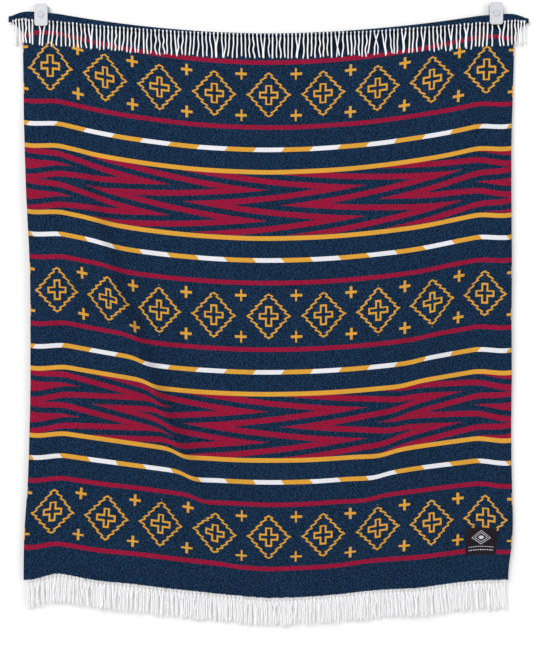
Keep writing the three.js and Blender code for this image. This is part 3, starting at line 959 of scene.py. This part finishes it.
def edge_round(inset, rise, radius, opening):
    """Profile rows round a quarter circle, from a face to a side if opening and back if not."""
    angles = np.linspace(0, math.pi / 2, 5)
    turns = angles if opening else angles[::-1]
    lean = 1 - np.sin(turns)
    climb = 1 - np.cos(turns)
    rises = rise + radius * climb if opening else rise - radius * climb
    return list(zip(inset + radius * lean, rises))


def slab_profile(depth, radius):
    """Profile of a flat plate with rounded edges."""
    hold = 1.3 * radius
    return [
        (hold, 0.0),
        *edge_round(0.0, 0.0, radius, True),
        *edge_round(0.0, depth, radius, False),
        (hold, depth),
    ]


def jaw_profile(depth, radius):
    """Profile of a plate whose front has a shallow panel inside a narrow rim."""
    rim, step, sunk = 0.0032, 0.0007, 0.0005
    return [
        *slab_profile(depth, radius)[:-1],
        (rim, depth),
        (rim + step, depth - sunk),
        (rim + 2 * step, depth - sunk),
    ]


def knob_profile(radius, rise):
    """Profile of a low dome on a short foot, with a shallow dish in its top."""
    foot, chamfer = 0.0015, 0.0004
    dish_from, dish_slope = 0.86, 0.0035
    angles = np.linspace(0, math.pi / 2, 9)[:-1]
    dome = [(radius * (1 - math.cos(a)), foot + (rise - foot) * math.sin(a)) for a in angles]
    dish = [(radius * share, rise - dish_slope * (share - dish_from)) for share in (0.90, 0.96)]
    return [(chamfer, 0.0), (0.0, chamfer), *dome, *dish]


def strand_drift(count, steps, pitch, width, draw):
    """How far each strand strays sideways and to the front at each step of its length.

    Every strand leans with its neighbours, a little on its own, and sways along its length. Some
    neighbours draw together and hang as one, and some cross.
    """
    shared_lean, own_lean, own_sway, own_front = 0.0028, 0.0014, 0.0009, 0.0005
    paired, crossed = 0.5, 0.4
    t = np.linspace(0, 1, steps)
    number = np.arange(count)
    lean = shared_lean * np.sin(0.41 * number + 1.3 * np.sin(0.13 * number))
    lean = lean + draw.normal(0, own_lean, count)
    sway = draw.normal(0, own_sway, count)[:, None] * np.sin(
        2 * math.pi * (draw.uniform(0.8, 1.9, count)[:, None] * t + draw.uniform(0, 1, count)[:, None])
    )
    side = lean[:, None] * t ** 1.4 + sway * smooth(t, 0.0, 0.3)
    front = draw.normal(0, own_front, count)[:, None] * t

    firsts = np.arange(2, count - 4, 4)
    firsts = firsts + draw.integers(0, 3, len(firsts))
    firsts = firsts[draw.uniform(0, 1, len(firsts)) < paired]
    meet = draw.uniform(0.35, 0.85, len(firsts))[:, None]
    crossing = (draw.uniform(0, 1, len(firsts)) < crossed)[:, None]
    middle = (side[firsts] + side[firsts + 1]) / 2
    near = smooth(t / meet, 0.0, 1.0)
    together = pitch / 2 * (1 - near) + 0.42 * width * near
    across = pitch / 2 * np.clip(1 - t / meet, -0.6, 1)
    apart = np.where(crossing, across, together)
    over = np.exp(-(((t - meet) / 0.3) ** 2)) * np.where(crossing, 0.55, 0.25) * width
    side[firsts] = middle + pitch / 2 - apart
    side[firsts + 1] = middle - pitch / 2 + apart
    front[firsts] += over
    front[firsts + 1] -= 0.4 * over
    return side, front


def strand_row(u, end, roots, reach, widths, sides, drift):
    """Strands that follow the surface continuing the cloth, and stray from it.

    A strand swells out of its roots, and once more before its blunt tip.
    """
    side, front = drift
    steps = side.shape[1]
    t = np.linspace(0, 1, steps)
    start = STRAND_START * roots
    down = start + (reach[:, None] - start) * t
    paths = cloth_middle(np.repeat(u[:, None], steps, axis=1), end.v + end.way * down)
    paths[..., 0] += side
    paths[..., 1] -= front
    swell = STRAND_NECK + (1 - STRAND_NECK) * smooth(down, start, roots)
    swell = swell + STRAND_KNOT * smooth(t, 0.86, 0.97) - STRAND_TIP_LOSS * smooth(t, 0.97, 1.0)
    return tubes(paths, widths[:, None] / 2 * swell, sides)


def root_row(u, end, roots, pitch, width, lift, draw):
    """Yarns at the strands' roots: three thin ones lap onto the cloth's end and gather into each strand."""
    steps, sides, yarns = 5, 4, 3
    t = np.linspace(0, 1, steps)
    gather = 1 - smooth(t, 0.0, 1.0)
    spread = np.linspace(-end.spread, end.spread, yarns) * pitch
    count = yarns * len(u)
    across = np.repeat(u, yarns)[:, None] + np.tile(spread, len(u))[:, None] * gather
    across = across + draw.normal(0, 0.0003, count)[:, None]
    lap = end.lap * draw.uniform(0.5, 1.3, count)[:, None]
    down = -lap + (roots + lap + draw.uniform(0, 0.3, count)[:, None] * roots) * t
    proud = end.face * lift * (1 - smooth(down, 0.0, 0.5 * roots))
    paths = on_cloth(across, end.v + end.way * down, proud)
    paths[..., 1] -= draw.normal(0, 0.0004, count)[:, None]
    radii = 0.30 * width * draw.normal(1, 0.12, count)[:, None] * (1 - 0.35 * t)
    return tubes(paths, radii, sides)


def fringe_shape(fringe, end, length, roots, lift):
    """A fringe: strands, their roots, and loose yarns behind their gaps."""
    draw = np.random.default_rng(end.seed)
    pitch = WIDTH / (fringe.strands + 1)
    u = -HALF + pitch * np.arange(1, fringe.strands + 1)
    between = (u[:-1] + u[1:]) / 2
    u = np.sort(np.concatenate([u, between[np.abs(between) > end.crowd * HALF]]))
    reach = length + draw.normal(0, 0.0022, len(u))
    widths = fringe.width * draw.normal(1, 0.07, len(u))
    side, front = strand_drift(len(u), STRAND_STEPS, pitch, fringe.width, draw)
    drift = (end.stray * side, front)
    parts = [
        strand_row(u, end, roots, reach, widths, 5, drift),
        root_row(u, end, roots, pitch, fringe.width, lift, draw),
    ]
    for share in end.loose:
        gaps = u[:-1] + pitch * share
        side, front = strand_drift(len(gaps), STRAND_STEPS, pitch, fringe.width, draw)
        short = reach[:-1] * draw.uniform(0.86, 0.99, len(gaps))
        thin = fringe.width * draw.uniform(0.55, 0.75, len(gaps))
        parts.append(strand_row(gaps, end, roots, short, thin, 4, (0.6 * side, front - 0.0014)))
    return joined(*parts)


class HUNGBLANKET_OT_weave_cloth(bpy.types.Operator):
    """Weave the cloth, turn its top end over and hang it in its folds"""

    bl_idname = "hung_blanket.weave_cloth"
    bl_label = "Weave cloth"

    def execute(self, context):
        cloth = context.scene.hung_blanket.cloth
        radius = cloth.thickness / 2
        columns = rim_stations(-HALF, HALF, CLOTH_COLUMNS, radius)
        v = cloth_rows(columns, radius)
        u = np.broadcast_to(columns, v.shape)
        rounding = rim_rounding(HALF - np.abs(u), radius) * rim_rounding(np.minimum(v, LENGTH - v), radius)
        face = on_cloth(u, v, radius * rounding)
        back = on_cloth(u, v, -radius * rounding)
        piece = new_piece("blanket_cloth", closed_sheet(face, back, u / WIDTH + 0.5, 1 - v / LENGTH))
        side = np.concatenate([0.5 + 0.5 * rounding.ravel(), 0.5 - 0.5 * rounding[1:-1, 1:-1].ravel()])
        layer = piece.data.attributes.new("side", "FLOAT", "POINT")
        layer.data.foreach_set("value", side.astype(np.float32))
        fit(piece, wool_finish(cloth), "cloth", "blanket")
        return {"FINISHED"}


class HUNGBLANKET_OT_knot_fringes(bpy.types.Operator):
    """Knot the fringes to the cloth's two ends"""

    bl_idname = "hung_blanket.knot_fringes"
    bl_label = "Knot fringes"

    def execute(self, context):
        fringe = context.scene.hung_blanket.fringe
        finish = yarn_finish(fringe)
        lift = context.scene.hung_blanket.cloth.thickness / 2 + 0.25 * fringe.width
        top = fringe_shape(fringe, TOP_END, fringe.top_length, fringe.top_roots, lift)
        fit(new_piece("top_fringe", top), finish, "yarn", "fringe_top")
        bottom = fringe_shape(fringe, BOTTOM_END, fringe.bottom_length, fringe.bottom_roots, lift)
        fit(new_piece("bottom_fringe", bottom), finish, "yarn", "fringe_bottom")
        return {"FINISHED"}


class HUNGBLANKET_OT_sew_label(bpy.types.Operator):
    """Sew the woven label to the face of the cloth"""

    bl_idname = "hung_blanket.sew_label"
    bl_label = "Sew label"

    def execute(self, context):
        settings = context.scene.hung_blanket
        label = settings.label
        seat = settings.cloth.thickness / 2

        def laid(across, down, lift):
            u = LABEL_U + across * math.cos(LABEL_TILT) + down * math.sin(LABEL_TILT)
            v = LABEL_V - across * math.sin(LABEL_TILT) + down * math.cos(LABEL_TILT)
            return on_cloth(u, v, seat + lift)

        radius = LABEL_THICKNESS / 2
        across = rim_stations(-label.width / 2, label.width / 2, LABEL_GRID, radius)
        down = rim_stations(-label.height / 2, label.height / 2, LABEL_GRID, radius)
        across, down = np.meshgrid(across, down)
        inside = np.minimum(label.width / 2 - np.abs(across), label.height / 2 - np.abs(down))
        rounding = rim_rounding(label.width / 2 - np.abs(across), radius)
        rounding = rounding * rim_rounding(label.height / 2 - np.abs(down), radius)
        middle = 0.9 * radius + LABEL_CROWN * smooth(inside, 0.001, 0.006)
        face = laid(across, down, middle + radius * rounding)
        back = laid(across, down, middle - radius * rounding)
        shape = closed_sheet(face, back, across / label.width + 0.5, 0.5 - down / label.height)
        fit(new_piece("sewn_label", shape), label_finish(label), "label", "label")

        def edge_places(length, other, turned):
            """Stitch paths along two opposite edges: out of the cloth, over the rim and in again."""
            count = int(length / label.stitch_pitch)
            along = (np.arange(count) + 0.5) / count * length - length / 2
            out = np.array([0.0011, 0.0006, -0.0008, -0.0021, -0.0026])
            lift = np.array([-0.0004, 0.0009, 0.0014, 0.0013, 0.0006])
            slant = np.linspace(-0.0005, 0.0005, len(out))
            first = np.tile(along[:, None] + slant, (2, 1))
            second = np.repeat([other / 2 + out, -other / 2 - out], count, 0)
            pair = (second, first) if turned else (first, second)
            return laid(*pair, np.broadcast_to(lift, first.shape))

        paths = np.concatenate([
            edge_places(label.width, label.height, False), edge_places(label.height, label.width, True),
        ])
        stitches = tubes(paths, np.full(paths.shape[:2], THREAD_RADIUS), 5)
        fit(new_piece("label_stitches", stitches), thread_finish(label), "label")
        return {"FINISHED"}


class HUNGBLANKET_OT_fit_clips(bpy.types.Operator):
    """Fit the two wall clips: a wall plate, a front jaw and a low knob each"""

    bl_idname = "hung_blanket.fit_clips"
    bl_label = "Fit clips"

    def execute(self, context):
        settings = context.scene.hung_blanket
        clip = settings.clip
        finish = plastic_finish(clip)
        plate = (clip.width, clip.height, CLIP_CORNER)
        pad = (*PAD_SIZE, PAD_CORNER)
        boss = (*BOSS_SIZE, PAD_CORNER)
        cloth_back_y = CLIP_LAYER_Y + settings.cloth.thickness / 2
        seat_y = SINK - WALL_PLATE

        def block(depth):
            return slab_profile(depth, CLIP_EDGE / 2)

        for side in ("left", "right"):
            x, z = clip_middle(side)
            back_low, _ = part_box(f"clip_{side}_back")
            jaw_low, jaw_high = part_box(f"clip_{side}_front")
            knob_low, knob_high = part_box(f"clip_{side}_knob")
            pad_z = z - PAD_BELOW
            jaw_y = jaw_low.y + JAW_PLATE
            radius = (knob_high.x - knob_low.x) / 2
            knob = knob_profile(radius, knob_high.y - knob_low.y + KNOB_SEAT)
            shapes = {
                ("plate", "back"): joined(
                    moulded(*plate, slab_profile(WALL_PLATE, CLIP_EDGE), (x, 0.0, z)),
                    moulded(*pad, block(seat_y - cloth_back_y), (x, seat_y, pad_z)),
                    moulded(*boss, block(seat_y - back_low.y), (x, seat_y, z + BOSS_ABOVE)),
                ),
                ("jaw", "front"): joined(
                    moulded(*plate, jaw_profile(JAW_PLATE, CLIP_EDGE), (x, jaw_y, z)),
                    moulded(*pad, block(jaw_high.y - jaw_y + SINK), (x, jaw_high.y, pad_z)),
                ),
                ("knob", "knob"): moulded(
                    2 * radius, 2 * radius, radius, knob, (x, knob_high.y + KNOB_SEAT, z),
                ),
            }
            for (name, node), shape in shapes.items():
                fit(new_piece(f"{side}_clip_{name}", shape), finish, "clip", f"clip_{side}_{node}")
        return {"FINISHED"}


class HUNGBLANKET_OT_set_stage(bpy.types.Operator):
    """Set up the floor, the one-sided wall panel, the light and the camera"""

    bl_idname = "hung_blanket.set_stage"
    bl_label = "Set stage"

    def execute(self, context):
        stage = context.scene.hung_blanket.stage
        self.lay_surround(stage)
        target = Vector((stage.camera_x, 0.0, stage.camera_z))
        self.hang_light("key_light", KEY_PLACE, target, KEY_SIZE, stage.key_power)
        self.hang_light("fill_light", FILL_PLACE, target, FILL_SIZE, stage.fill_power)
        self.light_room(context.scene, stage.room)
        self.place_camera(context.scene, stage)
        context.scene.view_settings.view_transform = "Standard"
        return {"FINISHED"}

    def lay_surround(self, stage):
        """A round floor, and a panel just behind the wall plane that only the camera's rays meet."""
        tone = tuple(stage.surround)
        turn = np.linspace(0, 2 * math.pi, 97)[:-1]
        reach = FLOOR_RADIUS * np.linspace(0, 1, 9)[1:, None]
        x, y = reach * np.cos(turn), reach * np.sin(turn)
        rings = np.stack([x, y, np.full_like(x, stage.floor_z)], axis=-1)
        index = np.arange(x.size).reshape(x.shape)
        quads = grid_quads(np.concatenate([index, index[:, :1]], axis=1))
        floor = new_piece("floor", Shape(rings.reshape(-1, 3), quads, index[:1], NO_MAP, NO_MAP))
        floor.data.materials.append(surround_finish(tone, False))

        across = np.linspace(-PANEL_HALF, PANEL_HALF, 14)
        x, z = np.meshgrid(across, np.linspace(PANEL_TOP, stage.floor_z, 18))
        wall = np.stack([x, np.full_like(x, PANEL_BEHIND), z], axis=-1)
        quads = grid_quads(np.arange(x.size).reshape(x.shape))
        panel = new_piece("wall_panel", Shape(wall.reshape(-1, 3), quads, NO_CAPS, NO_MAP, NO_MAP))
        panel.data.materials.append(surround_finish(tone, True))
        for rays in ("shadow", "diffuse", "glossy", "transmission"):
            setattr(panel, f"visible_{rays}", False)

    def hang_light(self, name, place, target, width, power):
        """A square soft light that looks at the target."""
        light = bpy.data.lights.new(name, "AREA")
        light.size = width
        light.energy = power
        lamp = bpy.data.objects.new(name, light)
        lamp.location = place
        lamp.rotation_euler = (target - lamp.location).to_track_quat("-Z", "Y").to_euler()
        bpy.context.scene.collection.objects.link(lamp)

    def light_room(self, scene, strength):
        """Even light from all sides, against plain white where the camera looks past everything."""
        scene.world = bpy.data.worlds.new("room")
        room = Finish(scene.world)
        seen = room.node("LightPath", None, None, "Is Camera Ray")
        even = room.node("Background", None, {"Color": (1.0, 1.0, 1.0), "Strength": strength})
        white = room.node("Background", None, {"Color": (1.0, 1.0, 1.0), "Strength": 1.0})
        room.end(room.node("MixShader", None, {0: seen, 1: even, 2: white}))

    def place_camera(self, scene, stage):
        """A level camera square to the wall whose picture takes in the photograph's height at the cloth."""
        camera = bpy.data.cameras.new("camera")
        camera.sensor_width = SENSOR
        camera.lens = SENSOR * stage.camera_distance / PICTURE_HEIGHT
        cloth_y = CLIP_LAYER_Y - STAND_OFF
        view = bpy.data.objects.new("camera", camera)
        view.location = (stage.camera_x, cloth_y - stage.camera_distance, stage.camera_z)
        view.rotation_euler = (math.pi / 2, 0.0, 0.0)
        scene.collection.objects.link(view)
        scene.camera = view


STEPS = (
    ("cloth", HUNGBLANKET_OT_weave_cloth),
    ("fringe", HUNGBLANKET_OT_knot_fringes),
    ("label", HUNGBLANKET_OT_sew_label),
    ("clip", HUNGBLANKET_OT_fit_clips),
    ("stage", HUNGBLANKET_OT_set_stage),
)


class VIEW3D_PT_hung_blanket(bpy.types.Panel):
    """The steps of making the hung blanket, each with its settings"""

    bl_label = "Hung blanket"
    bl_space_type = "VIEW_3D"
    bl_region_type = "UI"
    bl_category = "Hung blanket"

    def draw(self, context):
        for name, operator in STEPS:
            box = self.layout.box()
            box.operator(operator.bl_idname)
            group = getattr(context.scene.hung_blanket, name)
            for setting in group.__annotations__:
                box.prop(group, setting)


CLASSES = (
    ClothSettings,
    FringeSettings,
    LabelSettings,
    ClipSettings,
    StageSettings,
    BlanketSettings,
    *(operator for _, operator in STEPS),
    VIEW3D_PT_hung_blanket,
)


def register():
    for cls in CLASSES:
        bpy.utils.register_class(cls)
    bpy.types.Scene.hung_blanket = PointerProperty(type=BlanketSettings)


def unregister():
    del bpy.types.Scene.hung_blanket
    for cls in reversed(CLASSES):
        bpy.utils.unregister_class(cls)


def main():
    register()
    bpy.ops.hung_blanket.weave_cloth()
    bpy.ops.hung_blanket.knot_fringes()
    bpy.ops.hung_blanket.sew_label()
    bpy.ops.hung_blanket.fit_clips()
    bpy.ops.hung_blanket.set_stage()


if __name__ == "__main__":
    main()
